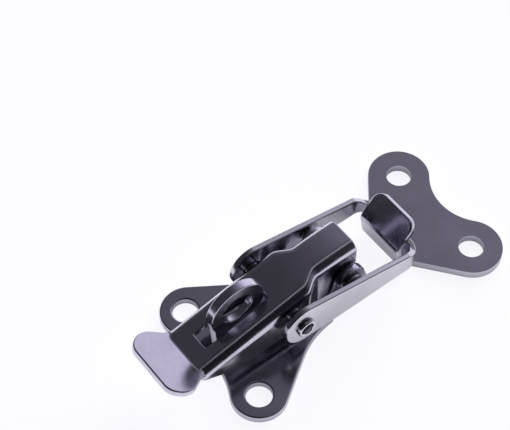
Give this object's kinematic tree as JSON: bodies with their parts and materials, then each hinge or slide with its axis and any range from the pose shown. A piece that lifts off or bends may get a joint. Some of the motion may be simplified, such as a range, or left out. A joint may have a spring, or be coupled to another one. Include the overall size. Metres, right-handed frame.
{
  "type": "over-centre draw latch",
  "caption": "Over-centre draw latch with a folded lever, a swinging strip loop, a padlock staple on its base and a screwed keeper plate with a bent hook.",
  "frame": {"origin": "on the base plate's underside, midway between its two screw holes", "axes": "+X from the latch towards the keeper, along the pull; +Z away from the mounting surface; Y across, along the pivots"},
  "size_m": [0.0818, 0.037, 0.0225],
  "materials": {
    "black_sheet": "glossy black zinc or e-coat",
    "black_strip": "glossy black zinc or e-coat, brighter where it bends",
    "rivet_steel": "black plated, rubbed bright at the rims"
  },
  "bodies": {
    "base": {"base_plate": "black_sheet", "lever_rivet": "rivet_steel"},
    "lever": {"lever": "black_sheet", "loop_rivet_near": "rivet_steel", "loop_rivet_far": "rivet_steel"},
    "loop": {"loop": "black_strip"},
    "keeper": {"keeper_plate": "black_sheet"}
  },
  "joints": [
    {"name": "lever_swing", "type": "hinge", "parent": "base", "child": "lever", "pos_m": [0.0285, 0, 0.0095], "axis": [0, 1, 0], "range_deg": [0, 97]},
    {"name": "loop_swing", "type": "hinge", "parent": "lever", "child": "loop", "pos_m": [0.014, 0, 0.01], "axis": [0, 1, 0], "range_deg": [-66, 0]},
    {"name": "keeper_slide", "type": "slide", "parent": "base", "child": "keeper", "axis": [1, 0, 0], "range_m": [-0.003, 0]}
  ],
  "couplings": [
    {"joint": "loop_swing", "follows": "lever_swing", "ratio": -0.665}
  ]
}
